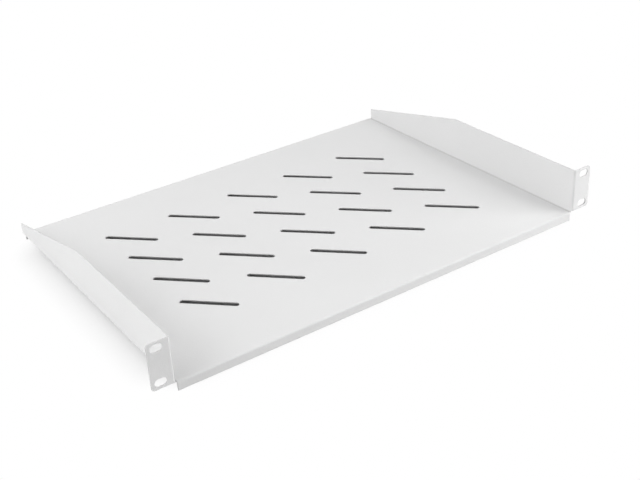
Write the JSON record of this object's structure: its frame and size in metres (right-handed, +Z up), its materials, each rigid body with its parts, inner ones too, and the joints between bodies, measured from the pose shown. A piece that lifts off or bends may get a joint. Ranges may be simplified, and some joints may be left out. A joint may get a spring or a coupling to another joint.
{
  "type": "rack shelf",
  "caption": "Folded sheet steel rack shelf, one unit high, that bolts to the front rails by its ears and carries equipment on a slotted deck between two side walls.",
  "frame": {"origin": "middle of the ear holes, on the plane where the backs of the ears meet the rack's rails", "axes": "+X to the right as seen from the front of the rack, +Y into the rack, +Z up"},
  "size_m": [0.4826, 0.3232, 0.0534],
  "materials": {
    "powder_coat": "fine light grey powder coat, matt"
  },
  "bodies": {
    "root": {"shelf": "powder_coat"}
  },
  "joints": []
}
